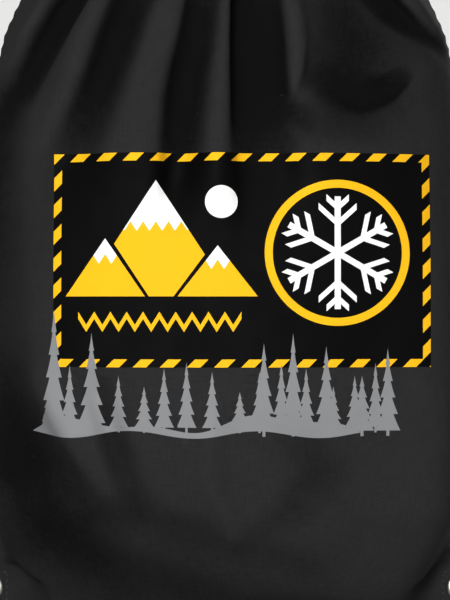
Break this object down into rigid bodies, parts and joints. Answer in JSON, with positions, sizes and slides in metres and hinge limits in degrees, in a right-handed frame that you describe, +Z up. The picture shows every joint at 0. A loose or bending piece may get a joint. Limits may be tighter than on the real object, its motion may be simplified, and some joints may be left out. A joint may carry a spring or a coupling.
{
  "type": "drawstring bag",
  "caption": "Filled cotton drawstring bag that stands on its base, with a gathered neck, an open hem channel and an eyelet at each lower corner.",
  "frame": {"origin": "on the floor, under the middle of the sack", "axes": "+Z up, +X to the right of someone who faces the front, front faces -Y"},
  "size_m": [0.298, 0.1582, 0.42],
  "materials": {
    "black_twill": "matt twill weave",
    "print_film": "matt printed film",
    "eyelet_metal": "nickel plated"
  },
  "bodies": {
    "root": {"front_panel": "black_twill", "back_panel": "black_twill", "hem_front": "black_twill", "hem_back": "black_twill", "ear_left": "black_twill", "ear_right": "black_twill", "print_film": "print_film", "eyelet_left": "eyelet_metal", "eyelet_right": "eyelet_metal", "washer_left": "eyelet_metal", "washer_right": "eyelet_metal"}
  },
  "joints": []
}
